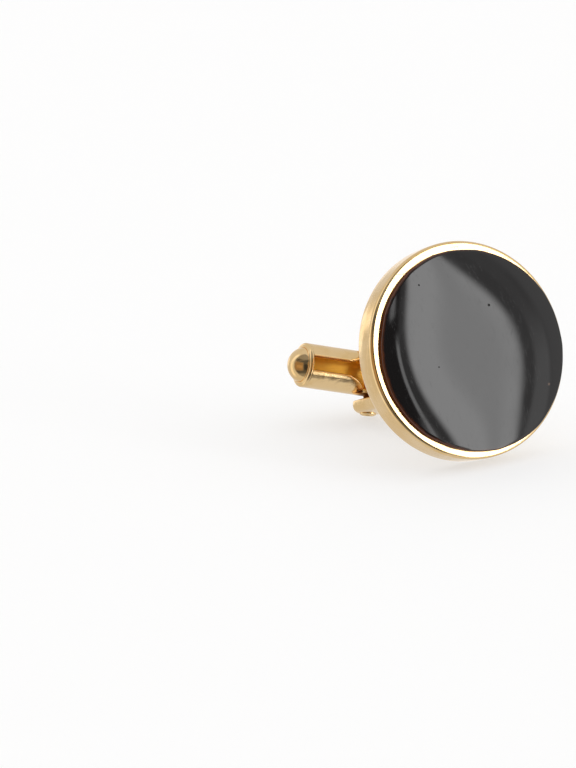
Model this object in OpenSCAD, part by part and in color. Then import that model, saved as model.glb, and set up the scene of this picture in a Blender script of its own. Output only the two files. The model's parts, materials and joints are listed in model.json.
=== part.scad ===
// Round cufflink with a domed inlay in a rimmed cup and a swivel toggle on a fork post.
// Millimetres, +Z up, standing as it lies on a table: on the cup's back edge, the tip of the
// lower fork arm and one end of the opened toggle. The origin is on the table under the middle
// of its bounding box, and the face looks towards -Y and up.

/* [Face] */
// Diameter of the round face
face_d = 18; // [14:0.5:22]
// Depth of the cup, from its back to its rim
cup_h = 2.7; // [2.2:0.1:4]
// Width of the rim, seen from the front
rim_w = 0.63; // [0.4:0.01:1]
// Bevel on the rim's outer edge
rim_bevel = 0.14; // [0.05:0.01:0.3]
// Rounding of the cup's back edge
back_round = 0.3; // [0.1:0.05:0.6]
// Thickness of the cup's floor
floor_t = 0.9; // [0.5:0.1:1.2]

/* [Inlay] */
// Height of the inlay's rounded edge above the rim
inlay_lip = 0.4; // [0.2:0.05:0.6]
// Height of the inlay's crown above the rim
inlay_crown = 0.85; // [0.7:0.05:1.6]
// How the crown falls towards its edge: 2 is a ball's curve, more is flatter in the middle
crown_power = 4; // [2:0.5:6]

/* [Post] */
// Distance from the cup's back to the pivot
post_h = 14.8; // [13:0.1:17]
// Width of each arm, along the opened toggle
arm_w = 2.7; // [2.2:0.1:3.4]
// Thickness of the arms and of the strip that joins them
arm_t = 0.95; // [0.5:0.05:1]
// Space between the arms
arm_gap = 4.7; // [4.1:0.05:5]
// Outer radius of the bend between an arm and the base strip
bend_r = 1.2; // [0.9:0.05:1.6]
// How far the solder under the post reaches past it, and how thick it is
solder_t = 0.25; // [0.1:0.05:0.4]

/* [Toggle] */
// Overall length of the toggle
toggle_l = 15.6; // [14:0.1:18]
// Outer diameter of the toggle's tube
toggle_d = 3.7; // [3.4:0.05:3.9]
// Thickness of the tube's rolled sheet
sheet_t = 0.4; // [0.3:0.05:0.5]
// Diameter of the balls that close the tube's ends
ball_d = 3.1; // [2.9:0.05:3.2]
// How far each ball's centre sits inside the tube's end
ball_inset = 0.25; // [0.1:0.05:0.5]
// Width of the lengthwise slot that faces the cup
slot_w = 1.3; // [0.8:0.05:1.6]
// Distance from the tube's end to the slot's end
slot_margin = 0.5; // [0.3:0.05:1]
// Half the length of the flat cut-out over the pivot
cutout_half = 1.1; // [0.9:0.1:2]
// Radius of the sheet's corners beside that cut-out
cutout_round = 1; // [0.6:0.05:1.3]

/* [Pivot] */
// Diameter of the pivot pin
pin_d = 1; // [0.8:0.05:1.1]
// Diameter of the pin's riveted heads
head_d = 1.5; // [1.2:0.05:1.6]
// Height of each head above its arm
head_h = 0.12; // [0.08:0.01:0.2]

/* [Hidden] */
$fn = 96;

seat_gap = 0.03;         // between the inlay and the cup
fit_gap = 0.02;          // between the pin and the arms that it is riveted in
running_gap = 0.06;      // between the pin and the toggle's holes
over = 1;                // how far a cutter runs past what it cuts

face_r = face_d / 2;
cup_r = face_r - rim_w;  // the cup's inner wall
inlay_r = cup_r - seat_gap;
inlay_edge = inlay_lip * 0.9;            // radius of the inlay's rounded edge
crown_rise = inlay_crown - inlay_lip;
crown_r = inlay_r - inlay_edge;          // where the crown meets the rounded edge
crown_slope = atan(crown_power * crown_rise / inlay_r * pow(crown_r / inlay_r, crown_power - 1));

arm_out = arm_gap / 2 + arm_t;   // the arms' outer faces
arm_r = arm_w / 2;               // their round tips, about the pivot

tube_r = toggle_d / 2;
ball_r = ball_d / 2;
ball_x = toggle_l / 2 - ball_r;
tube_end = ball_x + ball_inset;
crease_r = sqrt(ball_r * ball_r - ball_inset * ball_inset);
tube_bevel = (tube_r - crease_r) * 0.5;
cutout_z = pin_d / 2 + running_gap + 0.19;   // the cut-out leaves the pivot holes whole

pivot = [0, 0, -post_h];

// How far a ring of radius r about an axis reaches in a unit direction
function ring_reach(centre, axis, r, dir) = centre * dir + r * sqrt(1 - pow(axis * dir, 2));

// What can touch the table or set the part's depth, in the cup's own frame:
// X along the opened toggle, Y along the pivot pin, Z out of the face, from the middle of the back
function cup_reach(dir) = ring_reach([0, 0, back_round], [0, 0, 1], face_r - back_round, dir) + back_round;
function rim_reach(dir) = ring_reach([0, 0, cup_h - rim_bevel], [0, 0, 1], face_r, dir);
function arm_reach(side, dir) = ring_reach(pivot + [0, side * arm_out, 0], [0, 1, 0], arm_r, dir);
function toggle_reach(side, dir) =
    ring_reach(pivot + [side * (tube_end - tube_bevel), 0, 0], [1, 0, 0], tube_r, dir);

// Directions of the part's own frame, seen from the cup leaning back by lean and turned by roll
// until the toggle's right end, seen from the front, is on the table
function up_dir(lean, roll) = [-sin(roll) * cos(lean), cos(roll) * cos(lean), sin(lean)];
function back_dir(lean, roll) = [-sin(roll) * sin(lean), cos(roll) * sin(lean), -cos(lean)];

// Lean and roll at which cup, lower arm and one toggle end stand on one level: each step
// turns the part by the height that is still missing over the distance between the two feet
function settle(lean, roll, steps) =
    let (down = -up_dir(lean, roll),
         cup = cup_reach(down),
         arm = arm_reach(-1, down),
         tip = toggle_reach(1, down))
    steps == 0 ? [lean, roll]
               : settle(lean + atan((cup - arm) / post_h), roll + atan((arm - tip) / tube_end), steps - 1);

stance = settle(20, 12, 40);
lean = stance[0];
roll = stance[1];
lift = cup_reach(-up_dir(lean, roll));
front = rim_reach(-back_dir(lean, roll));
rear = max(toggle_reach(-1, back_dir(lean, roll)), arm_reach(1, back_dir(lean, roll)));

// Height of the inlay's crown over its cup's back, at a distance from the middle
function crown_z(r) = cup_h + inlay_lip + crown_rise * (1 - pow(r / inlay_r, crown_power));

// Half the inlay's section: a flat bottom, a straight side, a round edge that turns in until it
// has the crown's slope, and the crown
function inlay_section(edge_steps, crown_steps) =
    let (turn = 90 - crown_slope,
         join_r = crown_r + inlay_edge * sin(crown_slope),
         centre = [crown_r, crown_z(join_r) - inlay_edge * cos(crown_slope)])
    concat([[0, floor_t + seat_gap], [inlay_r, floor_t + seat_gap]],
           [for (i = [0:edge_steps])
               centre + inlay_edge * [cos(turn * i / edge_steps), sin(turn * i / edge_steps)]],
           [for (i = [crown_steps - 1:-1:0])
               [join_r * i / crown_steps, crown_z(join_r * i / crown_steps)]]);

// Sets a piece, drawn in the cup's own frame, down on the table
module stand() {
    translate([0, (front - rear) / 2, lift])
        rotate([90 - lean, 0, 0])
            rotate([0, 0, -roll])
                children();
}

// Solid turned about the pivot pin's direction, from y = -half to y = half at the pivot
module along_pin(r, half) {
    translate(pivot)
        rotate([90, 0, 0])
            cylinder(r = r, h = 2 * half, center = true);
}

// The cup: a rounded back edge, a straight side and a rim with a bevelled outer edge
module cup() {
    difference() {
        rotate_extrude() {
            square([face_r - back_round, back_round]);
            translate([face_r - back_round, back_round])
                circle(r = back_round);
            translate([0, back_round])
                square([face_r, cup_h - rim_bevel - back_round]);
            polygon([[0, cup_h - rim_bevel], [face_r, cup_h - rim_bevel],
                     [face_r - rim_bevel, cup_h], [0, cup_h]]);
        }
        translate([0, 0, floor_t])
            cylinder(r = cup_r, h = cup_h);
    }
}

// Side view of the bent strip, across the pin: a channel with rounded bends, open at the bottom
module channel_outline(half_w, depth, r) {
    translate([-half_w, -post_h - 2 * arm_r])
        square([2 * half_w, post_h + 2 * arm_r - depth - r]);
    translate([-half_w + r, -depth - r - over])
        square([2 * (half_w - r), r + over]);
    for (side = [-1, 1])
        translate([side * (half_w - r), -depth - r])
            circle(r = r);
}

// The fork post: one strip bent into two arms with round tips, drilled for the pin
module post() {
    difference() {
        intersection() {
            rotate([90, 0, 90])
                linear_extrude(height = arm_w, center = true)
                    difference() {
                        channel_outline(arm_out, 0, bend_r);
                        channel_outline(arm_out - arm_t, arm_t, bend_r - arm_t);
                    }
            rotate([90, 0, 0])
                linear_extrude(height = 2 * arm_out + over, center = true) {
                    translate([-arm_r, -post_h])
                        square([arm_w, post_h + over]);
                    translate([0, -post_h])
                        circle(r = arm_r);
                }
        }
        along_pin(pin_d / 2 + fit_gap, arm_out + over);
    }
}

// The solder between the base strip and the cup, a thin seam that shows all round the post
module solder() {
    translate([-arm_r - solder_t, -arm_out - solder_t, -solder_t])
        cube([arm_w + 2 * solder_t, 2 * (arm_out + solder_t), solder_t + floor_t / 2]);
}

module setting_and_post() {
    color("goldenrod")
        stand() {
            cup();
            post();
            solder();
        }
}

// The inlay: its section turned about the cup's axis
module inlay() {
    color([0.06, 0.06, 0.07])
        stand()
            rotate_extrude()
                polygon(inlay_section(6, 12));
}

// The pivot pin: a straight shank with a low dimpled head outside each arm
module pivot_pin() {
    shank = arm_out + fit_gap;
    color("gold")
        stand()
            difference() {
                union() {
                    along_pin(pin_d / 2, shank + head_h / 2);
                    for (side = [-1, 1])
                        translate(pivot + [0, side * (shank + head_h / 2), 0])
                            rotate([90, 0, 0])
                                cylinder(d = head_d, h = head_h, center = true);
                }
                for (side = [-1, 1])
                    translate(pivot + [0, side * (shank + head_h + head_d * 0.35), 0])
                        sphere(d = head_d);
            }
}

// Everything over the slot and the pivot that the sheet leaves open, on the side of the cup
module toggle_opening() {
    cutout_x = cutout_half + cutout_round;
    slot_x = tube_end - slot_margin;
    translate(pivot + [-slot_x, -slot_w / 2, 0])
        cube([2 * slot_x, slot_w, tube_r + over]);
    translate(pivot)
        rotate([90, 0, 0])
            linear_extrude(height = toggle_d + over, center = true)
                difference() {
                    translate([-cutout_x, cutout_z])
                        square([2 * cutout_x, tube_r]);
                    for (side = [-1, 1])
                        translate([side * cutout_x, cutout_z])
                            circle(r = cutout_round);
                }
}

// The toggle: a slotted tube of rolled sheet, closed at both ends by balls
module toggle() {
    bore_end = tube_end - slot_margin;
    color("goldenrod")
        stand()
            difference() {
                translate(pivot)
                    rotate([0, 90, 0]) {
                        cylinder(r = tube_r, h = 2 * (tube_end - tube_bevel), center = true);
                        for (turn = [0, 180])
                            rotate([0, turn, 0]) {
                                translate([0, 0, tube_end - tube_bevel])
                                    cylinder(r1 = tube_r, r2 = crease_r, h = tube_bevel);
                                translate([0, 0, ball_x])
                                    sphere(r = ball_r);
                            }
                    }
                translate(pivot)
                    rotate([0, 90, 0])
                        cylinder(r = tube_r - sheet_t, h = 2 * bore_end, center = true);
                toggle_opening();
                along_pin(pin_d / 2 + running_gap, toggle_d);
            }
}

setting_and_post();
inlay();
pivot_pin();
toggle();
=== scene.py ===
"""Dresses a packed round cufflink: its gold cup and fork post, its black enamel inlay, its rivet and
its slotted toggle, on a pale floor in a white light tent. Laid out as an add-on, run as a script."""

import json
import math

import bmesh
import bpy
import numpy as np
from bpy.props import FloatProperty, FloatVectorProperty, PointerProperty
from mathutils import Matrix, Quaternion, Vector


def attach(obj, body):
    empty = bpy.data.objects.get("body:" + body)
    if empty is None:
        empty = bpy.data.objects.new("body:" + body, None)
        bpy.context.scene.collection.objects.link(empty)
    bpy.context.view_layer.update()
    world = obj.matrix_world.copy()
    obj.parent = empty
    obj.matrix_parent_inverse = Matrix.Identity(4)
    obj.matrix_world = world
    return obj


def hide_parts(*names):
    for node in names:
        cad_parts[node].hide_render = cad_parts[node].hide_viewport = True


bl_info = {
    "name": "Round Cufflink",
    "version": (1, 0, 0),
    "blender": (4, 5, 0),
    "location": "3D View > Sidebar > Cufflink",
    "description": "Makes the visible pieces, finishes, light and camera of a round cufflink",
    "category": "Object",
}

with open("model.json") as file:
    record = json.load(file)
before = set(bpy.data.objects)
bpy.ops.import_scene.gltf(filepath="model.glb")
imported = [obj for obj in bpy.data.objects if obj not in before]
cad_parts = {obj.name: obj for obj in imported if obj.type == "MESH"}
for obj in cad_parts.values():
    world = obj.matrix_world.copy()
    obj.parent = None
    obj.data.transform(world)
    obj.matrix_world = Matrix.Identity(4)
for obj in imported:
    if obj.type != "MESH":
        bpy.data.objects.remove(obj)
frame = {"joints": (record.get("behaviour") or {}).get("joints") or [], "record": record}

MM = 0.001
WELD_DISTANCE = 2e-8
CROWN_POWER = 4
FLOOR_RADIUS = 1.5
FLOOR_THICKNESS = 2 * MM
FACE_BODY = "face"
TOGGLE_BODY = "toggle"

# Marks on the enamel: place to the right of the face's middle and up from it, and radius, in mm
PITS = (((1.16, 3.74), 0.09), ((-3.09, -1.99), 0.05), ((-5.28, 4.49), 0.06))
BROWN_SPECK = ((7.36, -1.96), 0.11)

# Short waves of the enamel's hand-filled edge: count round the face, size and phase
EDGE_WAVES = ((9, 0.5, 1.3), (14, 0.45, 5.2), (23, 0.35, 3.3), (37, 0.2, 0.9))

# The cufflink's own frame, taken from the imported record: X along the opened toggle, Y along the
# pivot pin, Z out of the face, from the middle of the cup's back
SWIVEL = next(joint for joint in frame["joints"] if joint["name"] == "toggle_swivel")
CUFF_FACE = next(mount for mount in frame["record"]["mounts"] if mount["name"] == "cuff_face")
PIVOT = np.array(SWIVEL["pos_m"])
PIN_DIR = np.array(SWIVEL["axis"]) / np.linalg.norm(SWIVEL["axis"])
FACE_DIR = -np.array(CUFF_FACE["axis"]) / np.linalg.norm(CUFF_FACE["axis"])
TOGGLE_DIR = np.cross(PIN_DIR, FACE_DIR)
OWN_AXES = np.array([TOGGLE_DIR, PIN_DIR, FACE_DIR])
POST_HEIGHT = float((np.array(CUFF_FACE["pos_m"]) - PIVOT) @ FACE_DIR)
BACK_MIDDLE = PIVOT + POST_HEIGHT * FACE_DIR


def length(name, description, millimetres):
    """A length that a user may change, shown with its unit."""
    return FloatProperty(name=name, description=description, default=millimetres * MM, min=0.0,
                         precision=5, unit="LENGTH", subtype="DISTANCE")


def angle(name, description, degrees):
    """An angle that a user may change."""
    return FloatProperty(name=name, description=description, default=math.radians(degrees),
                         unit="ROTATION", subtype="ANGLE")


def share(name, description, default):
    """A number from 0 to 1 that a user may change."""
    return FloatProperty(name=name, description=description, default=default, min=0.0, max=1.0,
                         subtype="FACTOR")


def strength(name, description, default):
    """A brightness that a user may change, where 1 is just white in the picture."""
    return FloatProperty(name=name, description=description, default=default, min=0.0)


def colour(name, description, default):
    """A linear colour that a user may change."""
    return FloatVectorProperty(name=name, description=description, default=default, size=3,
                               min=0.0, max=1.0, subtype="COLOR")


class FaceSizes(bpy.types.PropertyGroup):
    """Sizes of the cup and its inlay."""
    diameter: length("Face Diameter", "Across the round face", 18.0)
    depth: length("Cup Depth", "From the cup's back to its rim", 2.7)
    rim_width: length("Rim Width", "Width of the rim, from the cup's side to its inner wall", 0.82)
    rim_round: length("Rim Rounding", "How far the rim's rounded edge reaches in from the side", 0.28)
    rim_fall: length("Rim Fall", "How far the rim's rounded edge reaches down the side", 0.4)
    wall_round: length("Wall Rounding", "Radius of the rim's inner edge", 0.05)
    back_round: length("Back Rounding", "Radius of the cup's back edge", 0.6)
    taper: length("Taper", "How far the cup's side draws in at the back, where it does most", 0.13)
    taper_turn: angle("Taper Direction", "Where the side draws in most, not at all opposite", 155)
    taper_height: length("Taper Height", "Height over the back where the drawing in starts", 1.5)
    floor: length("Floor", "Thickness of the cup's floor", 0.9)
    seat_gap: length("Seat Gap", "Between the inlay and the cup", 0.03)
    lip: length("Inlay Lip", "Height of the inlay's rounded edge above the rim", 0.4)
    crown: length("Inlay Crown", "Height of the inlay's middle above the rim", 0.85)
    edge_round: length("Inlay Edge", "Radius of the inlay's rounded edge", 0.17)
    crown_radius: length("Crown Radius", "Radius at which the crown has come down to the lip", 8.35)
    spill: length("Spill", "How far the enamel spills over the rim, on average", 0.275)
    spill_right: length("Spill Right", "How much more it spills at the right", 0.26)
    spill_low: length("Spill Low", "How much more it spills at the bottom", 0.06)
    spill_oval: length("Spill Oval", "How much more it spills at both sides than above", 0.085)
    edge_wander: length("Edge Wander", "How far the hand-filled edge wavers", 0.02)
    fringe: length("Fringe", "Width of the thin brown edge of the inlay", 0.3)


class PostSizes(bpy.types.PropertyGroup):
    """Sizes of the fork post, its solder and its rivet."""
    arm_width: length("Arm Width", "Width of the bent strip", 2.7)
    arm_thickness: length("Arm Thickness", "Thickness of the bent strip", 1.03)
    upper_trim: length("Upper Tip Trim", "How much narrower the upper arm is at its tip", 0.4)
    arm_gap: length("Arm Gap", "Space between the arms", 4.7)
    bend: length("Bend Radius", "Outer radius of the bends", 1.2)
    edge_out: length("Outer Edge", "Radius of the strip's edges on the arms' outer faces", 0.68)
    edge_in: length("Inner Edge", "Radius of the strip's edges on the arms' inner faces", 0.15)
    solder: length("Solder Reach", "How far the solder spreads past the strip", 0.25)
    solder_rise: length("Solder Rise", "How high the solder climbs up the strip", 0.25)
    pin: length("Pin Diameter", "Across the rivet's shank", 1.0)
    head: length("Head Diameter", "Across the rivet's heads", 1.45)
    head_height: length("Head Height", "Height of each head above its arm", 0.12)
    dimple: length("Dimple Depth", "Depth of the dimple in each head", 0.34)


class ToggleSizes(bpy.types.PropertyGroup):
    """Sizes of the toggle."""
    overall: length("Toggle Length", "From ball to ball", 15.6)
    diameter: length("Tube Diameter", "Outside of the rolled tube", 3.8)
    sheet: length("Sheet", "Thickness of the rolled sheet", 0.4)
    ball: length("Ball Diameter", "Across the balls that close the ends", 3.1)
    ball_inset: length("Ball Inset", "From the tube's end in to the ball's centre", 0.36)
    slot: length("Slot Width", "Width of the lengthwise slot in the tube", 1.3)
    slot_margin: length("Slot Margin", "From the tube's end to the slot's end", 0.26)
    cutout: length("Cut-out", "Half the length of the flat cut-out at the pivot", 1.1)
    cutout_reach: length("Corner Length", "How far the round corners reach along the tube", 1.55)
    cutout_drop: length("Corner Drop", "How far the round corners drop to the cut-out", 1.0)
    cutout_level: length("Cut-out Level", "From the pivot's axis up to the cut-out", 0.75)
    edge: length("Sheet Edge", "Radius of the sheet's edges", 0.07)
    shoulder: length("Shoulder", "How far the tube's end is drawn in to the ball", 0.17)
    shoulder_length: length("Shoulder Length", "Length over which the tube's end is drawn in", 0.2)
    bead: length("Bead", "Radius of the burnished bead that holds the ball", 0.075)


class Finishes(bpy.types.PropertyGroup):
    """Colours and polish."""
    gold: colour("Gold", "Colour of the gold plate", (0.93, 0.67, 0.355))
    gold_rough: share("Gold Roughness", "Roughness of the polished plate", 0.09)
    # The lining's deep amber is painted inter-reflection of the gold; its roughness and dullness are
    # the unpolished metal's.
    lining: colour("Lining", "Colour of the tube's unpolished inside", (1.0, 0.61, 0.1))
    lining_rough: share("Lining Roughness", "Roughness of the tube's inside", 0.5)
    lining_dull: share("Lining Dullness", "How little the tube's inside shines like metal", 0.25)
    # Painted shade with some tarnish: a dark brown laid on the tube where it sits in the gap between
    # the arms.
    tarnish_and_painted_shade: colour("Grime", "Colour of the tarnish on the tube by the arms", (0.2, 0.085, 0.018))
    enamel: colour("Enamel", "Colour of the thick enamel", (0.006, 0.005, 0.005))
    enamel_edge: colour("Thin Enamel", "Colour of the enamel's thin edge", (0.09, 0.022, 0.006))
    enamel_rough: share("Enamel Roughness", "Roughness of the enamel's gloss", 0.035)
    floor: colour("Floor", "Colour of the pale floor", (0.36, 0.36, 0.36))
    floor_glow: strength("Floor Glow", "How much light the lit floor gives off by itself", 0.6)


class StageSettings(bpy.types.PropertyGroup):
    """Camera and light."""
    azimuth: angle("Camera Azimuth", "Turn of the camera round the cufflink", -28.06)
    elevation: angle("Camera Elevation", "Height of the camera above the floor's level", 15.39)
    roll: angle("Camera Roll", "Turn of the camera about its own line of sight", -2.81)
    distance: length("Camera Distance", "From the aimed point to the camera", 300.0)
    aim: FloatVectorProperty(name="Camera Aim", description="Point in the picture's middle",
                             default=(-13.33 * MM, -1.47 * MM, 7.25 * MM), precision=5,
                             unit="LENGTH", subtype="XYZ")
    lens: FloatProperty(name="Lens", description="Focal length in millimetres", default=172.34)
    tent_turn: FloatVectorProperty(name="Tent Turn",
                                   description="How the light tent leans, about X, Y and Z",
                                   default=[math.radians(turn) for turn in (-1.25, -3.53, 1.31)],
                                   unit="ROTATION", subtype="EULER")
    tent: strength("Tent", "Brightness of the white tent", 0.7)
    softbox: strength("Softbox", "Brightness of the upright softbox", 4.9)
    opening: strength("Opening", "Brightness of the tent's opening round the camera", 0.11)
    wood: colour("Wood", "Tint of the warm wood at the left of the opening", (1.0, 0.68, 0.38))
    lamp: strength("Floor Lamp", "Brightness of the lamp over the floor", 0.6)
    lamp_size: length("Lamp Size", "Side of the lamp over the floor", 3000.0)
    lamp_height: length("Lamp Height", "Height of the lamp over the floor", 1000.0)


class CufflinkSettings(bpy.types.PropertyGroup):
    """All that a user may change."""
    face: PointerProperty(type=FaceSizes)
    post: PointerProperty(type=PostSizes)
    toggle: PointerProperty(type=ToggleSizes)
    finish: PointerProperty(type=Finishes)
    stage: PointerProperty(type=StageSettings)


def placed(points):
    """Points of the cufflink's own frame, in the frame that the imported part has."""
    return BACK_MIDDLE + points @ OWN_AXES


def stacked(*columns):
    """Arrays of the points' coordinates, spread to one shape, as one array of points."""
    return np.stack(np.broadcast_arrays(*columns), axis=-1)


def elliptic_arc(centre, across, along, start, end, steps=10):
    """Points (centre + across cos t, centre + along sin t) for t from start to end in degrees."""
    swing = np.radians(np.linspace(start, end, steps + 1))
    return np.stack([centre[0] + across * np.cos(swing), centre[1] + along * np.sin(swing)], axis=1)


def revolved(profile, steps):
    """A profile of (radius, height) turned about the height axis: each point becomes a circle
    (radius cos a, radius sin a, height) over a full turn of a. Rows follow the profile."""
    turn = np.linspace(0, 2 * np.pi, steps, endpoint=False)
    radius, height = profile[:, 0, None], profile[:, 1, None]
    return stacked(radius * np.cos(turn), radius * np.sin(turn), height)


def surface(name, points, attributes=None):
    """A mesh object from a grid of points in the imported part's frame, with numbers that it carries
    at each point. Neighbours in the grid are joined by four-sided faces, and each row's last point
    to its first. Points that coincide are welded, and the faces are turned outwards if the enclosed
    volume comes out negative."""
    shape = points.shape[:2]
    index = np.arange(shape[0] * shape[1]).reshape(shape)
    index = np.concatenate([index, index[:, :1]], axis=1)
    quads = np.stack([index[:-1, :-1], index[:-1, 1:], index[1:, 1:], index[1:, :-1]], axis=-1)
    quads = quads.reshape(-1, 4)
    flat = points.reshape(-1, 3)
    a, b, c, d = (flat[quads[:, k]] - flat.mean(axis=0) for k in range(4))
    volume = (np.cross(a, b) * c + np.cross(a, c) * d).sum()
    if volume < 0:
        quads = quads[:, ::-1]
    mesh = bpy.data.meshes.new(name)
    mesh.vertices.add(len(flat))
    mesh.vertices.foreach_set("co", flat.astype(np.float32).ravel())
    mesh.loops.add(quads.size)
    mesh.loops.foreach_set("vertex_index", quads.astype(np.int32).ravel())
    mesh.polygons.add(len(quads))
    mesh.polygons.foreach_set("loop_start", np.arange(0, quads.size, 4, dtype=np.int32))
    mesh.update(calc_edges=True)
    for key, values in (attributes or {}).items():
        layer = mesh.attributes.new(key, "FLOAT", "POINT")
        spread = np.broadcast_to(values, shape).astype(np.float32)
        layer.data.foreach_set("value", spread.ravel())
    shell = bmesh.new()
    shell.from_mesh(mesh)
    bmesh.ops.remove_doubles(shell, verts=shell.verts, dist=WELD_DISTANCE)
    bmesh.ops.dissolve_degenerate(shell, edges=shell.edges, dist=WELD_DISTANCE)
    shell.to_mesh(mesh)
    shell.free()
    mesh.shade_smooth()
    piece = bpy.data.objects.new(name, mesh)
    bpy.context.scene.collection.objects.link(piece)
    return piece


def finished(piece, body, node, material):
    """Gives a piece its material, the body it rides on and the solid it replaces."""
    piece.data.materials.append(material)
    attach(piece, body)
    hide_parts(node)


class Value:
    """A shader socket that takes part in Python sums: every operation adds one Math node."""

    def __init__(self, graph, socket):
        self.graph = graph
        self.socket = socket

    def maths(self, operation, *others):
        """A Math node on this value and others."""
        inputs = dict(enumerate((self, *others)))
        return self.graph.node("ShaderNodeMath", {"operation": operation}, inputs)

    def __add__(self, other):
        return self.maths("ADD", other)

    __radd__ = __add__

    def __mul__(self, other):
        return self.maths("MULTIPLY", other)

    __rmul__ = __mul__

    def __sub__(self, other):
        return self.maths("SUBTRACT", other)

    def __rsub__(self, other):
        return self.graph.node("ShaderNodeMath", {"operation": "SUBTRACT"}, {0: other, 1: self})

    def __pow__(self, other):
        return self.maths("POWER", other)

    def step(self, low, high):
        """A smooth step from 0 at low to 1 at high, and back where low is over high."""
        inputs = {"Value": self, "From Min": low, "From Max": high}
        return self.graph.node("ShaderNodeMapRange", {"interpolation_type": "SMOOTHSTEP"}, inputs)

    def band(self, low, high, soft):
        """1 between low and high, with edges soft wide, and 0 outside."""
        rise = self.step(low - soft / 2, low + soft / 2)
        return rise * self.step(high + soft / 2, high - soft / 2)


class Graph:
    """The node tree of a material or a world."""

    def __init__(self, owner):
        owner.use_nodes = True
        self.tree = owner.node_tree
        self.tree.nodes.clear()

    def node(self, kind, settings, inputs, output=0):
        """Adds a node of that kind, sets its settings, then its sockets' values or links, and
        returns one of its outputs, if it has any."""
        made = self.tree.nodes.new(kind)
        for key, value in settings.items():
            setattr(made, key, value)
        for key, value in inputs.items():
            socket = made.inputs[key]
            if isinstance(value, Value):
                self.tree.links.new(value.socket, socket)
            elif socket.type == "RGBA":
                socket.default_value = (*value, 1.0)
            else:
                socket.default_value = value
        if not made.outputs:
            return None
        return Value(self, made.outputs[output])

    def vector(self, operation, *inputs, output=0):
        """A Vector Math node."""
        settings = {"operation": operation}
        return self.node("ShaderNodeVectorMath", settings, dict(enumerate(inputs)), output)

    def split(self, vector):
        """The three numbers of a vector."""
        x = self.node("ShaderNodeSeparateXYZ", {}, {"Vector": vector}, output="X")
        outputs = x.socket.node.outputs
        return x, Value(self, outputs["Y"]), Value(self, outputs["Z"])

    def mixed(self, factor, first, second):
        """A colour between two, by a factor. The Mix node's colours are its inputs 6 and 7 and its
        output 2."""
        inputs = {"Factor": factor, 6: first, 7: second}
        return self.node("ShaderNodeMix", {"data_type": "RGBA"}, inputs, output=2)

    def noise(self, place, scale, detail, rough):
        """Noise from 0 to 1 at a scale in repeats for each metre."""
        inputs = {"Vector": place, "Scale": scale, "Detail": detail, "Roughness": rough}
        return self.node("ShaderNodeTexNoise", {}, inputs)

    def attribute(self, name):
        """A number that the mesh carries at each point."""
        return self.node("ShaderNodeAttribute", {"attribute_name": name}, {}, output="Fac")

    def place(self):
        """Object coordinates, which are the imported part's frame."""
        return self.node("ShaderNodeTexCoord", {}, {}, output="Object")

    def bump(self, height, distance, normal=None):
        """A bump whose height runs from 0 to 1 over that distance."""
        inputs = {"Height": height, "Distance": distance, "Strength": 1.0}
        if normal is not None:
            inputs["Normal"] = normal
        return self.node("ShaderNodeBump", {}, inputs)

    def principled(self, inputs):
        """The material's one shader, joined to its output."""
        shader = self.node("ShaderNodeBsdfPrincipled", {}, inputs)
        self.node("ShaderNodeOutputMaterial", {}, {"Surface": shader})


def face_place(graph, place):
    """Place on the face, in millimetres to the right of its middle and up from it."""
    own = graph.vector("SUBTRACT", place, tuple(BACK_MIDDLE))
    right = graph.vector("DOT_PRODUCT", own, tuple(TOGGLE_DIR), output="Value") * (1 / MM)
    up = graph.vector("DOT_PRODUCT", own, tuple(PIN_DIR), output="Value") * (1 / MM)
    return right, up


def speck(right, up, at, radius):
    """1 within a small round speck at a place on the face, and 0 outside it, with an edge that is
    soft from 0.7 to 1.3 of its radius."""
    aside = ((right - at[0]) ** 2 + (up - at[1]) ** 2) ** 0.5
    return aside.step(radius * 1.3, radius * 0.7)


def scratches(graph, place, turns, scale, low, high):
    """Fine lines in several directions, from noise stretched fifty times along each."""
    lines = None
    for turn in turns:
        inputs = {"Vector": place, "Rotation": turn, "Scale": (0.02, 1.0, 1.0)}
        streak = graph.node("ShaderNodeMapping", {"vector_type": "TEXTURE"}, inputs)
        mark = graph.noise(streak, scale, detail=2.0, rough=0.7).step(low, high)
        lines = mark if lines is None else lines + mark
    return lines


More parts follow.
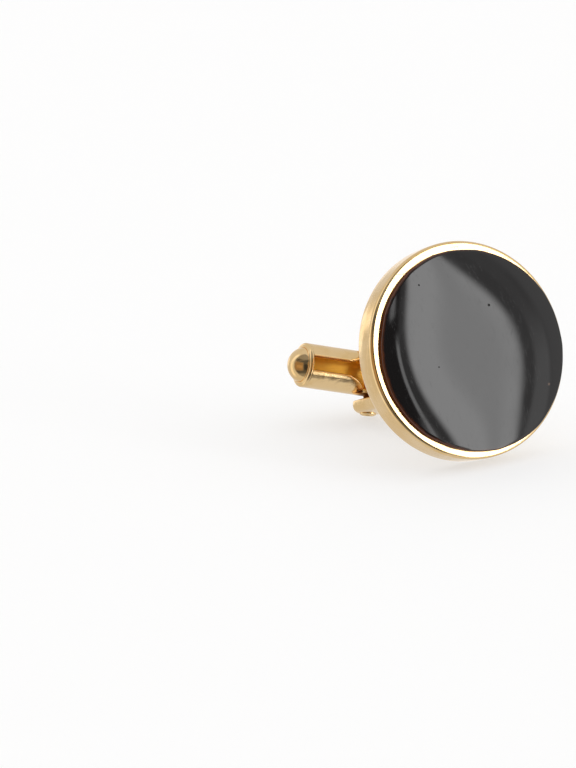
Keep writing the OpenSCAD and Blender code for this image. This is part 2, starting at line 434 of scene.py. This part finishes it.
def gold_material(name, rougher=1.0, wave=0.016, lined=False):
    """Polished gold plate: low waves of the pressed metal, whose height is given in millimetres,
    fine handling scratches in several directions, and a faint mottling of tint and gloss. Where
    the piece is lined, its attribute inside marks the unpolished inside, rougher and less like
    metal, whose deeper amber is painted inter-reflection of the gold, and near_arms marks the gap
    at the arms, darkened with painted shade and some tarnish."""
    finish = bpy.context.scene.cufflink.finish
    rough = finish.gold_rough * rougher
    material = bpy.data.materials.new(name)
    graph = Graph(material)
    place = graph.place()
    base = tuple(finish.gold)
    cloud = graph.noise(place, 420.0, detail=4.0, rough=0.6)
    grain = graph.noise(place, 5200.0, detail=2.0, rough=0.6)
    deep = tuple(channel * factor for channel, factor in zip(base, (0.94, 0.89, 0.76)))
    tint = graph.mixed(cloud.step(0.38, 0.68), base, deep)
    smudge = graph.noise(place, 900.0, detail=5.0, rough=0.65).step(0.45, 0.75)
    roughness = rough + smudge * (rough * 0.9) + grain.step(0.6, 0.8) * 0.05
    metallic = 1.0
    if lined:
        inside = graph.attribute("inside")
        # Painted shade with some tarnish: the outer skin darkens where the tube sits between the
        # arms.
        tarnish_and_painted_shade = graph.attribute("near_arms").step(0.6, 0.85) * (1 - inside)
        # Painted inter-reflection: the inside takes the deeper amber of light bounced within the
        # tube.
        tint = graph.mixed(inside, tint, tuple(finish.lining))
        tint = graph.mixed(tarnish_and_painted_shade, tint, tuple(finish.tarnish_and_painted_shade))
        roughness = roughness * (1 - inside) + inside * finish.lining_rough + tarnish_and_painted_shade * 0.3
        metallic = 1 - inside * finish.lining_dull
    waves = graph.bump(graph.noise(place, 900.0, detail=2.0, rough=0.4), wave * MM)
    turns = ((0.3, 0.1, 0.9), (1.2, 0.7, 0.2), (0.8, 1.9, 1.4))
    lines = scratches(graph, place, turns, scale=260.0, low=0.62, high=0.70)
    marks = graph.bump(1 - lines, 0.0025 * MM, waves)
    graph.principled({"Base Color": tint, "Metallic": metallic, "Roughness": roughness,
                      "Normal": marks})
    return material


def enamel_material(name):
    """Black enamel: glossy and near black where it is thick, brown where it thins out at its edge,
    with a few pits and dust specks, faint scratches and slightly cloudy gloss."""
    settings = bpy.context.scene.cufflink
    finish = settings.finish
    material = bpy.data.materials.new(name)
    graph = Graph(material)
    place = graph.place()
    edge = graph.attribute("edge_mm")
    width = settings.face.fringe / MM
    ragged = graph.noise(place, 1300.0, detail=3.0, rough=0.6) - 0.5
    right, up = face_place(graph, place)
    thin = (edge + ragged * width).step(width, 0.0) ** 1.8 * right.step(7.0, 3.0)
    brown = (0.10, 0.065, 0.05)
    tint = graph.mixed(thin, tuple(finish.enamel), tuple(finish.enamel_edge))
    tint = graph.mixed(speck(right, up, *BROWN_SPECK), tint, brown)
    pits = speck(right, up, *PITS[0])
    for at, radius in PITS[1:]:
        pits = pits + speck(right, up, at, radius)
    dust = graph.noise(place, 4100.0, detail=2.0, rough=0.5).step(0.70, 0.78)
    cloud = graph.noise(place, 260.0, detail=4.0, rough=0.6).step(0.35, 0.75)
    turns = ((0.3, 0.1, 0.9), (0.2, 0.4, 1.5))
    fine = scratches(graph, place, turns, scale=700.0, low=0.66, high=0.72)
    roughness = finish.enamel_rough + dust * 0.10 + cloud * 0.05 + fine * 0.04 + pits * 0.5
    dents = graph.bump(1 - pits, 0.05 * MM)
    marks = graph.bump(1 - fine, 0.0004 * MM, dents)
    graph.principled({"Base Color": tint, "Roughness": roughness, "IOR": 1.5, "Normal": marks})
    return material


def floor_material(name):
    """Matt white board with a very fine tooth, lit from below too, so that shadows stay faint."""
    finish = bpy.context.scene.cufflink.finish
    material = bpy.data.materials.new(name)
    graph = Graph(material)
    place = graph.place()
    base = tuple(finish.floor)
    soft = tuple(channel * 0.985 for channel in base)
    tint = graph.mixed(graph.noise(place, 60.0, detail=3.0, rough=0.5), base, soft)
    tooth = graph.bump(graph.noise(place, 3000.0, detail=3.0, rough=0.6), 0.004 * MM)
    graph.principled({"Base Color": tint, "Roughness": 0.9, "Specular IOR Level": 0.1,
                      "Normal": tooth, "Emission Color": (1.0, 1.0, 1.0),
                      "Emission Strength": finish.floor_glow})
    return material


def cup_profile(face, taper):
    """Half the cup's section as (radius, height), from the middle of its back to the middle of its
    floor. The back edge is an arc. The side is radius - taper (1 - height / taper height) squared
    at first, then straight. The rim's outer edge is a quarter of an ellipse, and its inner edge is
    an arc. A point close beside each corner keeps the flat next to it flat in its shading."""
    radius = face.diameter / 2
    wall = radius - face.rim_width
    lean = math.atan(2 * taper * (1 - face.back_round / face.taper_height) / face.taper_height)
    height = np.linspace(face.back_round * (1 - math.sin(lean)), face.taper_height, 8)
    side = np.stack([radius - taper * (1 - height / face.taper_height) ** 2, height], axis=1)
    back_centre = (side[0, 0] - face.back_round * math.cos(lean), face.back_round)
    back = elliptic_arc(back_centre, face.back_round, face.back_round, -90, -math.degrees(lean))
    rim_centre = (radius - face.rim_round, face.depth - face.rim_fall)
    rim = elliptic_arc(rim_centre, face.rim_round, face.rim_fall, 0, 90, steps=16)
    inner_centre = (wall + face.wall_round, face.depth - face.wall_round)
    inner = elliptic_arc(inner_centre, face.wall_round, face.wall_round, 90, 180, steps=6)
    beside = 0.1 * MM
    parts = [
        [(0, 0), (back_centre[0] - beside, 0)],
        back,
        side,
        [(radius, rim_centre[1] - beside)],
        rim,
        [(rim_centre[0] - beside, face.depth), (inner_centre[0] + beside, face.depth)],
        inner,
        [(wall, inner_centre[1] - beside), (wall, face.floor + beside), (wall, face.floor)],
        [(wall - beside, face.floor), (0, face.floor)],
    ]
    return np.concatenate([np.asarray(part, float) for part in parts])


class CUFFLINK_OT_cup(bpy.types.Operator):
    """Make the gold cup with its thin rim: its section turned about its axis, where the side draws
    in by the taper's share (1 + cos(turn - taper direction)) / 2"""
    bl_idname = "cufflink.cup"
    bl_label = "Cup"

    def execute(self, context):
        face = context.scene.cufflink.face
        steps = 360
        turn = np.linspace(0, 2 * np.pi, steps, endpoint=False)
        drawn_in = ((1 + np.cos(turn - face.taper_turn)) / 2)[:, None]
        straight = revolved(cup_profile(face, 0.0), steps)
        tapered = revolved(cup_profile(face, face.taper), steps)
        piece = surface("cup", placed(straight + (tapered - straight) * drawn_in))
        finished(piece, FACE_BODY, "setting_and_post", gold_material("gold_cup"))
        return {"FINISHED"}


def inlay_edge_radius(face, turn):
    """Radius of the inlay's visible edge, which spills over the rim: a circle moved towards the
    right and the bottom, with two waves round it that make it oval, leaning by an angle, and four
    that make it squarish, plus a few short waves."""
    wall = face.diameter / 2 - face.rim_width
    shift = face.spill_right * np.cos(turn) - face.spill_low * np.sin(turn)
    oval_lean = math.radians(12)
    squareness = 0.45
    oval = face.spill_oval * (np.cos(2 * turn - oval_lean) - squareness * np.cos(4 * turn))
    wander = sum(size * np.sin(count * turn + phase) for count, size, phase in EDGE_WAVES)
    return wall + face.spill + shift + oval + face.edge_wander * wander


def crown_height(face, radius):
    """Height of the inlay's domed top over the rim: a flat middle that falls with the fourth power
    of the radius to the lip's height at the crown's radius."""
    return face.lip + (face.crown - face.lip) * (1 - (radius / face.crown_radius) ** CROWN_POWER)


def inlay_grid(face):
    """The inlay's points, and how far inside its visible edge each one is. From the middle of its
    back, rows run out over the flat back, up its side to a skin's height over the rim, then in
    round the edge and over the crown. Round the edge, for t from 0 to a quarter turn less the
    crown's slope, the radius is edge - rounding (1 - cos t) and the height grows with
    sin t / cos slope, so that it meets the crown without a crease."""
    seat = face.diameter / 2 - face.rim_width - face.seat_gap
    turn = np.linspace(0, 2 * np.pi, 480, endpoint=False)
    whole_turn = np.ones_like(turn)
    edge = inlay_edge_radius(face, turn)
    slope = math.atan(CROWN_POWER * (face.crown - face.lip) / face.crown_radius)
    rounding = np.linspace(0, np.pi / 2 - slope, 14)[:, None]
    join = edge - face.edge_round * (1 - math.sin(slope))
    skin = 0.004 * MM
    edge_r = edge - face.edge_round * (1 - np.cos(rounding))
    edge_z = skin + (crown_height(face, join) - skin) * np.sin(rounding) / math.cos(slope)
    crown_r = join * np.linspace(1, 0, 60)[1:, None]
    foot_r = np.array([0.0, 0.5, 1.0, 1.0])[:, None] * seat * whole_turn
    base = face.floor + face.seat_gap - face.depth
    foot_z = np.array([base, base, base, skin])[:, None] * whole_turn
    radius = np.concatenate([foot_r, edge_r, crown_r])
    height = face.depth + np.concatenate([foot_z, edge_z, crown_height(face, crown_r)])
    return stacked(radius * np.cos(turn), radius * np.sin(turn), height), edge - radius


class CUFFLINK_OT_inlay(bpy.types.Operator):
    """Make the domed black inlay"""
    bl_idname = "cufflink.inlay"
    bl_label = "Inlay"

    def execute(self, context):
        grid, to_edge = inlay_grid(context.scene.cufflink.face)
        piece = surface("enamel_inlay", placed(grid), attributes={"edge_mm": to_edge / MM})
        finished(piece, FACE_BODY, "inlay", enamel_material("black_enamel"))
        return {"FINISHED"}


def strip_section(half_thickness, edge_out, edge_in):
    """Half a strip's section, from the flat of its outer side round one edge to the flat of its
    inner side, as (inset from the strip's side, height over its middle). Both edges are arcs, with
    two points on the flat beside each, at 1.5 and 1.25 of its radius."""
    swing = np.linspace(0, np.pi / 2, 8)
    beside = np.array([1.5, 1.25])
    inset, height = [], []
    for edge, sign in ((edge_out, 1), (edge_in, -1)):
        inset.append(np.concatenate([edge * beside, edge * (1 - np.sin(swing))])[::sign])
        level = np.append([half_thickness] * 2, half_thickness - edge * (1 - np.cos(swing)))
        height.append(sign * level[::sign])
    return np.concatenate(inset), np.concatenate(height)


def bend_sizes(post):
    """Radius of the bends' middle line, and how far from the base's middle each bend starts."""
    return post.bend - post.arm_thickness / 2, post.arm_gap / 2 + post.arm_thickness - post.bend


def fork_line(along, post):
    """The bent strip's middle line and outward direction at a distance along it from the middle of
    its base: straight over the base, a quarter turn at each bend, then straight down the arms."""
    middle, base = bend_sizes(post)
    reach = np.abs(along)
    bent = np.clip((reach - base) / middle, 0, np.pi / 2)
    down = np.maximum(reach - base - middle * np.pi / 2, 0)
    y = np.sign(along) * (np.minimum(reach, base) + middle * np.sin(bent))
    z = -post.arm_thickness / 2 - middle * (1 - np.cos(bent)) - down
    return y, z, np.sign(along) * np.sin(bent), np.cos(bent)


def fork_grid(post):
    """The fork post's points. Rows follow the strip's middle line from the lower arm's tip over the
    base to the upper arm's tip, and columns run round the strip's section. At each tip the section
    swings by a quarter turn t about the tip's middle, half width cos t aside and half width sin t
    onwards, which rounds the tip. The upper arm narrows with the square of the way along it."""
    middle, base = bend_sizes(post)
    bend_end = base + middle * np.pi / 2
    tip = bend_end + POST_HEIGHT - post.bend
    tip_rows = 18
    straight = np.concatenate([np.linspace(0, base, 5), np.linspace(base, bend_end, 15)[1:],
                               np.linspace(bend_end, tip, 12)[1:]])
    half_along = np.concatenate([straight, np.full(tip_rows, tip)])
    tip_turn = np.linspace(0, np.pi / 2, tip_rows + 1)[1:]
    half_round = np.concatenate([np.zeros_like(straight), tip_turn])
    along = np.concatenate([-half_along[:0:-1], half_along])[:, None]
    rounding = np.concatenate([-half_round[:0:-1], half_round])[:, None]
    inset, height = strip_section(post.arm_thickness / 2, post.edge_out, post.edge_in)
    side = np.concatenate([np.ones_like(inset), -np.ones_like(inset)])
    inset = np.concatenate([inset, inset[::-1]])
    height = np.concatenate([height, height[::-1]])
    trim = post.upper_trim / 2 * (np.maximum(along, 0) / tip) ** 2
    half_width = post.arm_width / 2 - trim - inset
    x = side * half_width * np.cos(rounding)
    y, z, out_y, out_z = fork_line(along + half_width * np.sin(rounding), post)
    return stacked(x, y + height * out_y, z + height * out_z)


class CUFFLINK_OT_post(bpy.types.Operator):
    """Make the fork post, one strip bent into two arms with round tips"""
    bl_idname = "cufflink.post"
    bl_label = "Fork Post"

    def execute(self, context):
        piece = surface("fork_post", placed(fork_grid(context.scene.cufflink.post)))
        material = gold_material("gold_post", rougher=1.1)
        finished(piece, FACE_BODY, "setting_and_post", material)
        return {"FINISHED"}


def rounded_rectangle(half_x, half_y, radius, steps):
    """Points round a rectangle with round corners: a circle's points pushed out to the four
    corner centres by the signs of their directions."""
    quarter = np.linspace(0, np.pi / 2, steps)
    turn = np.concatenate([quarter + k * np.pi / 2 for k in range(4)])
    sign_x = np.repeat([1, -1, -1, 1], steps)
    sign_y = np.repeat([1, 1, -1, -1], steps)
    x = sign_x * (half_x - radius) + radius * np.cos(turn)
    y = sign_y * (half_y - radius) + radius * np.sin(turn)
    return x, y


def solder_grid(post):
    """The solder's points, a fillet from the cup's back to the strip's base. Each row is a rectangle
    with round corners. As c grows from 0 to 1 it stands reach (1 - c) past the strip, tucks in
    under the bends and rises as rise (1 - sqrt(1 - c squared)), with a faint ripple of nine waves
    round it. The first row is sunk into the cup, and both ends close in a middle."""
    arm_out = post.arm_gap / 2 + post.arm_thickness
    climb = np.linspace(0, 1, 9)
    spread = post.solder * (1 - climb)
    sunk = 0.1 * MM
    rise = post.solder_rise * (1 - np.sqrt(1 - climb ** 2)) - sunk * (climb == 0)
    under_bend = 0.5 * MM * climb
    corner = 0.3 * MM
    rows = []
    for reach, lift, tuck in zip(spread, rise, under_bend):
        half_x = post.arm_width / 2 + reach
        half_y = arm_out + reach - tuck
        x, y = rounded_rectangle(half_x, half_y, corner + reach, 12)
        ripple = 1 + 0.05 * np.sin(9 * np.arctan2(y, x) + 0.7)
        rows.append(stacked(x, y, -lift * ripple))
    bottom = np.broadcast_to(rows[0].mean(axis=0), rows[0].shape)
    top = np.broadcast_to(rows[-1].mean(axis=0), rows[0].shape)
    return np.stack([bottom, *rows, top])


class CUFFLINK_OT_solder(bpy.types.Operator):
    """Make the thin solder seam where the post meets the cup's back"""
    bl_idname = "cufflink.solder"
    bl_label = "Solder Seam"

    def execute(self, context):
        piece = surface("solder_seam", placed(solder_grid(context.scene.cufflink.post)))
        material = gold_material("gold_solder", rougher=2.2, wave=0.04)
        finished(piece, FACE_BODY, "setting_and_post", material)
        return {"FINISHED"}


def rivet_profile(post):
    """Half the rivet's section as (radius, distance from its middle), from one dimple to the other.
    Out to the crest, at 0.82 of the head's radius, the dimple is a parabola. From there the head is
    a quarter of an ellipse, sunk a hair into the arm, and the shank is straight."""
    seat = post.arm_gap / 2 + post.arm_thickness
    head = post.head / 2
    crest = head * 0.82
    out = np.linspace(0, 1, 12)
    dish = seat + post.head_height - post.dimple * (1 - out ** 2)
    dimple = np.stack([crest * out, dish], axis=1)
    shoulder = elliptic_arc((crest, seat), head - crest, post.head_height, 90, 0, steps=7)
    sunk = 0.02 * MM
    shank = np.array([[head, seat - sunk], [post.pin / 2, seat - sunk], [post.pin / 2, 0.0]])
    half = np.concatenate([dimple, shoulder, shank])
    return np.concatenate([half, half[-2::-1] * [1, -1]])


class CUFFLINK_OT_rivet(bpy.types.Operator):
    """Make the riveted pivot pin with a dimpled head on each arm"""
    bl_idname = "cufflink.rivet"
    bl_label = "Rivet"

    def execute(self, context):
        turned = revolved(rivet_profile(context.scene.cufflink.post), steps=64)
        grid = stacked(turned[..., 0], turned[..., 2], turned[..., 1] - POST_HEIGHT)
        piece = surface("rivet_pin", placed(grid))
        finished(piece, FACE_BODY, "pivot_pin", gold_material("gold_rivet"))
        return {"FINISHED"}


def sheet_edge_angle(x, toggle):
    """Angle from the slot's middle to the sheet's edge, at a place along the toggle. Along the slot
    the edge stands half the slot's width aside. At the pivot it drops to the cut-out's level, with
    a corner that is a quarter of an ellipse on either side."""
    outer = toggle.diameter / 2
    aside = math.asin(toggle.slot / 2 / outer)
    corner = (toggle.cutout + toggle.cutout_reach - np.abs(x)) / toggle.cutout_reach
    level = toggle.cutout_level + toggle.cutout_drop * np.sqrt(1 - np.clip(corner, 0, 1) ** 2)
    level = np.where(corner <= 0, toggle.diameter, level)
    dropped = np.arccos(np.clip(level / outer, -1, 1))
    return np.maximum(aside, dropped)


def slot_end(toggle):
    """Where the slot ends, from the toggle's middle."""
    return toggle.overall / 2 - toggle.ball / 2 + toggle.ball_inset - toggle.slot_margin


def sheet_grid(toggle):
    """The rolled sheet's points, and what each one carries: whether it is inside the tube, and how
    near it is to the arms, as sin squared of its angle, which fades to both sides of the pivot.
    Rows follow the tube, and columns run round the sheet's section at the angles a from the slot's
    middle, at (radius sin a, radius cos a): the outer skin, one edge, the lining back and the other
    edge. Both edges are rounded by quarter circles. In the last row at either end the skin and the
    lining meet in the sheet's middle, which closes it."""
    outer = toggle.diameter / 2
    inner = outer - toggle.sheet
    edge = toggle.edge
    end = slot_end(toggle)
    corner = toggle.cutout + toggle.cutout_reach * (1 - np.cos(np.linspace(0, np.pi / 2, 32)))
    half_x = np.concatenate([np.linspace(0, toggle.cutout, 5)[:-1], corner,
                             np.linspace(corner[-1], end - edge, 14)[1:], [end, end]])
    half_inset = np.append(np.zeros(len(half_x) - 1), toggle.sheet / 2)
    x = np.concatenate([-half_x[:0:-1], half_x])[:, None]
    inset = np.concatenate([half_inset[:0:-1], half_inset])[:, None]
    around = np.linspace(0, 1, 97)
    outer_r = outer - inset
    inner_r = inner + inset
    cut = sheet_edge_angle(x, toggle)
    outer_a = cut + (inset + edge) / outer_r
    inner_a = cut + (inset + edge) / inner_r
    skin = outer_a + (2 * np.pi - 2 * outer_a) * around
    lining = inner_a + (2 * np.pi - 2 * inner_a) * around
    swing = np.linspace(0, np.pi / 2, 6)[1:-1]
    rounded = inset < toggle.sheet / 2
    turn_out = 2 * np.pi - outer_a + edge * np.sin(swing) / outer_r
    turn_in = 2 * np.pi - inner_a + edge * np.sin(swing[::-1]) / inner_r
    drop_out = outer_r - edge * (1 - np.cos(swing)) * rounded
    drop_in = inner_r + edge * (1 - np.cos(swing[::-1])) * rounded
    angles = np.concatenate([skin, turn_out, turn_in, lining[:, ::-1],
                             2 * np.pi - turn_in[:, ::-1], 2 * np.pi - turn_out[:, ::-1]], axis=1)
    radii = np.concatenate([outer_r + 0 * skin, drop_out, drop_in, inner_r + 0 * lining,
                            drop_in[:, ::-1], drop_out[:, ::-1]], axis=1)
    fade = np.maximum(1 - 0.22 * (x / toggle.cutout) ** 2, 0)
    # inside later takes the painted inter-reflection's amber, and near_arms places painted shade with
    # some tarnish between the arms.
    marks = {"inside": radii < outer - edge, "near_arms": np.sin(angles) ** 2 * fade}
    return stacked(x, radii * np.sin(angles), radii * np.cos(angles) - POST_HEIGHT), marks


class CUFFLINK_OT_sheet(bpy.types.Operator):
    """Make the toggle's tube, a rolled sheet with a lengthwise slot"""
    bl_idname = "cufflink.sheet"
    bl_label = "Toggle Tube"

    def execute(self, context):
        grid, marks = sheet_grid(context.scene.cufflink.toggle)
        piece = surface("toggle_sheet", placed(grid), attributes=marks)
        material = gold_material("gold_toggle", wave=0.022, lined=True)
        finished(piece, TOGGLE_BODY, "toggle", material)
        return {"FINISHED"}


def end_profile(toggle):
    """Half the section of a toggle's end as (radius, distance from the toggle's middle): a flat
    inner face, the closed ring of the tube, its shoulder, which is a quarter of an ellipse, the
    burnished bead, which is half a circle, and the ball, an arc that starts inside the bead."""
    outer, ball = toggle.diameter / 2, toggle.ball / 2
    inner_face = slot_end(toggle)
    end = inner_face + toggle.slot_margin
    beside = 0.05 * MM
    proud = 0.02 * MM
    shoulder = elliptic_arc((outer - toggle.shoulder, end - toggle.shoulder_length), toggle.shoulder,
                            toggle.shoulder_length, 0, 90)
    bead_r = math.sqrt(ball ** 2 - toggle.ball_inset ** 2) + toggle.bead * 0.7
    bead = elliptic_arc((bead_r, end), toggle.bead, toggle.bead, 0, 180)
    start = math.asin((toggle.ball_inset + proud) / ball)
    cap = elliptic_arc((0, end - toggle.ball_inset), ball, ball, math.degrees(start), 90, steps=40)
    cap[-1, 0] = 0
    inside = [(0, inner_face), (outer - toggle.sheet, inner_face), (outer - beside, inner_face),
              (outer, inner_face), (outer, inner_face + beside)]
    return np.concatenate([inside, shoulder, bead, cap])


class CUFFLINK_OT_ends(bpy.types.Operator):
    """Make the toggle's closed ends, each a ring of the tube with its ball"""
    bl_idname = "cufflink.ends"
    bl_label = "Toggle Ends"

    def execute(self, context):
        turned = revolved(end_profile(context.scene.cufflink.toggle), steps=192)
        material = gold_material("gold_ball", wave=0.022)
        for name, side in (("toggle_end_left", -1), ("toggle_end_right", 1)):
            grid = stacked(side * turned[..., 2], turned[..., 0], turned[..., 1] - POST_HEIGHT)
            piece = surface(name, placed(grid))
            finished(piece, TOGGLE_BODY, "toggle", material)
        return {"FINISHED"}


def towards(azimuth, elevation):
    """Unit vector towards an azimuth, 0 at the front and growing to the right, and an elevation."""
    return (math.sin(azimuth) * math.cos(elevation), -math.cos(azimuth) * math.cos(elevation),
            math.sin(elevation))


def tent_world(stage):
    """A white light tent, told by direction in degrees: azimuth round the cufflink from the front,
    growing to the right, and elevation. A wide dark opening is round the camera, with warm wood in
    its left half and three slits of light at its right. Then follow a fold of the tent, an upright
    softbox with a crease and a dark edge, and two lengths of cloth. More cloth hangs low in front,
    at the left and behind. Each layer covers those before it, and the softbox covers all."""
    world = bpy.data.worlds.new("light_tent")
    graph = Graph(world)
    straight = graph.node("ShaderNodeTexCoord", {}, {}, output="Generated")
    turned = {"Vector": straight, "Rotation": tuple(stage.tent_turn)}
    direction = graph.node("ShaderNodeMapping", {"vector_type": "POINT"}, turned)
    x, y, z = graph.split(direction)
    to_degrees = 180 / math.pi
    azimuth = x.maths("ARCTAN2", 0 - y) * to_degrees
    elevation = z.maths("ARCSINE") * to_degrees

    def disc(centre_azimuth, centre_elevation, inner, outer):
        """1 within the inner angle of a direction, and 0 past the outer angle."""
        centre = towards(math.radians(centre_azimuth), math.radians(centre_elevation))
        across = graph.vector("DOT_PRODUCT", direction, centre, output="Value")
        return (across.maths("ARCCOSINE") * to_degrees).step(outer, inner)

    def patch(left, right, soft_sides, bottom, top, soft_ends):
        """1 between two azimuths and two elevations, with soft edges, and 0 outside."""
        return azimuth.band(left, right, soft_sides) * elevation.band(bottom, top, soft_ends)

    cloth = disc(160, -12, 14, 24)
    left_cloth = patch(-136, -114, 5, -50, 60, 20)
    back_cloth = patch(-176, -160, 5, -12, 5, 6)
    opening = disc(-27, 14, 68, 79) * azimuth.step(21.5, 19.5)
    upper = elevation.step(42, 54)
    lower = elevation.step(-32, -46)
    wood = patch(-100, -40, 12, -20, 30, 12)
    glow = patch(-82, -44, 10, -5, 12, 6)
    dark_gap = patch(-34, -12, 8, -16, 20, 8)
    far_cloth = patch(48.5, 66, 6, -40, 50, 10)
    right_cloth = patch(40.5, 48.5, 3, -35, 20, 10)
    edge_dark = patch(37, 40.5, 1.5, -40, 45, 8)
    front_cloth = patch(11, 24, 4, -32, -8, 4)
    fold = patch(17.6, 21.6, 1, -5, 43, 4)
    low_slit = patch(13.8, 18.2, 2, -9, 9, 5)
    top_slit = patch(12.4, 15.4, 1, 31, 36.5, 1.5)
    slit = patch(15.6, 17.3, 0.8, 3, 26, 4)
    layers = ((cloth, 1.0), (left_cloth, 1.1), (back_cloth, 1.3), (opening, stage.opening),
              (opening * upper, 0.30), (opening * wood, 0.36), (opening * glow, 0.5),
              (opening * dark_gap, 0.05), (opening * lower, 0.28), (far_cloth, 0.9),
              (right_cloth, 1.3), (edge_dark, 0.6), (front_cloth, 1.1), (fold, 0.5),
              (low_slit, 1.0), (top_slit, 2.4), (slit, 2.8))
    shade = patch(46, 62, 4, 16, 30, 4)
    light = stage.tent - shade * 0.12
    for mask, level in layers:
        light = light * (1 - mask) + mask * level
    box_left = (azimuth + elevation * 0.03).step(20.5, 23.6)
    box_right = (azimuth + elevation * 0.105).step(39.6, 37.1)
    softbox = box_left * box_right * elevation.band(-32, 43, 3)
    crease = azimuth.band(30.2, 33.8, 3.0) * 0.18 + azimuth.step(33, 36) * 0.08
    light = light * (1 - softbox) + softbox * (1 - crease) * stage.softbox
    tint = graph.mixed(opening * wood, (1.0, 1.0, 1.0), tuple(stage.wood))
    background = graph.node("ShaderNodeBackground", {}, {"Color": tint, "Strength": light})
    graph.node("ShaderNodeOutputWorld", {}, {"Surface": background})
    bpy.context.scene.world = world


def floor_lamp(stage):
    """A wide lamp overhead, unseen in reflections, that keeps the matt floor pale and plain."""
    lamp = bpy.data.lights.new("floor_lamp", "AREA")
    lamp.size = stage.lamp_size
    lamp.energy = stage.lamp * math.pi * stage.lamp_size ** 2
    holder = bpy.data.objects.new("floor_lamp", lamp)
    holder.location = (0, 0, stage.lamp_height)
    holder.visible_glossy = False
    bpy.context.scene.collection.objects.link(holder)


def camera_view(stage):
    """The camera, at its distance from the aimed point, which it looks at from its azimuth and
    elevation, rolled about its line of sight."""
    camera = bpy.data.objects.new("camera", bpy.data.cameras.new("camera"))
    bpy.context.scene.collection.objects.link(camera)
    back = Vector(towards(stage.azimuth, stage.elevation))
    camera.location = Vector(stage.aim) + back * stage.distance
    level = (-back).to_track_quat("-Z", "Y")
    camera.rotation_mode = "QUATERNION"
    camera.rotation_quaternion = level @ Quaternion((0, 0, 1), stage.roll)
    camera.data.sensor_width = 36.0
    camera.data.lens = stage.lens
    camera.data.clip_start = 0.01
    camera.data.clip_end = 10.0
    bpy.context.scene.camera = camera


class CUFFLINK_OT_stage(bpy.types.Operator):
    """Make the pale floor, the light tent and the camera"""
    bl_idname = "cufflink.stage"
    bl_label = "Stage"

    def execute(self, context):
        scene = context.scene
        stage = scene.cufflink.stage
        top = np.linspace(0, FLOOR_RADIUS, 24)
        board = np.append(stacked(top, 0), [[0, -FLOOR_THICKNESS]], axis=0)
        floor = surface("floor", revolved(board, steps=96))
        floor.data.materials.append(floor_material("white_board"))
        floor.visible_glossy = False
        tent_world(stage)
        floor_lamp(stage)
        camera_view(stage)
        scene.view_settings.view_transform = "Standard"
        scene.view_settings.look = "None"
        return {"FINISHED"}


OPERATORS = (CUFFLINK_OT_cup, CUFFLINK_OT_inlay, CUFFLINK_OT_post, CUFFLINK_OT_solder,
             CUFFLINK_OT_rivet, CUFFLINK_OT_sheet, CUFFLINK_OT_ends, CUFFLINK_OT_stage)


class CUFFLINK_PT_panel(bpy.types.Panel):
    """Lists the cufflink's pieces and settings"""
    bl_idname = "CUFFLINK_PT_panel"
    bl_label = "Cufflink"
    bl_space_type = "VIEW_3D"
    bl_region_type = "UI"
    bl_category = "Cufflink"

    def draw(self, context):
        settings = context.scene.cufflink
        for operator in OPERATORS:
            self.layout.operator(operator.bl_idname)
        for group in (settings.face, settings.post, settings.toggle, settings.finish, settings.stage):
            box = self.layout.box()
            for key in group.__annotations__:
                box.prop(group, key)


CLASSES = (FaceSizes, PostSizes, ToggleSizes, Finishes, StageSettings, CufflinkSettings,
           *OPERATORS, CUFFLINK_PT_panel)


def register():
    for item in CLASSES:
        bpy.utils.register_class(item)
    bpy.types.Scene.cufflink = PointerProperty(type=CufflinkSettings)


def unregister():
    del bpy.types.Scene.cufflink
    for item in reversed(CLASSES):
        bpy.utils.unregister_class(item)


def main():
    """Makes every piece in order."""
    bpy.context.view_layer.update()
    register()
    bpy.ops.cufflink.cup()
    bpy.ops.cufflink.inlay()
    bpy.ops.cufflink.post()
    bpy.ops.cufflink.solder()
    bpy.ops.cufflink.rivet()
    bpy.ops.cufflink.sheet()
    bpy.ops.cufflink.ends()
    bpy.ops.cufflink.stage()


if __name__ == "__main__":
    main()
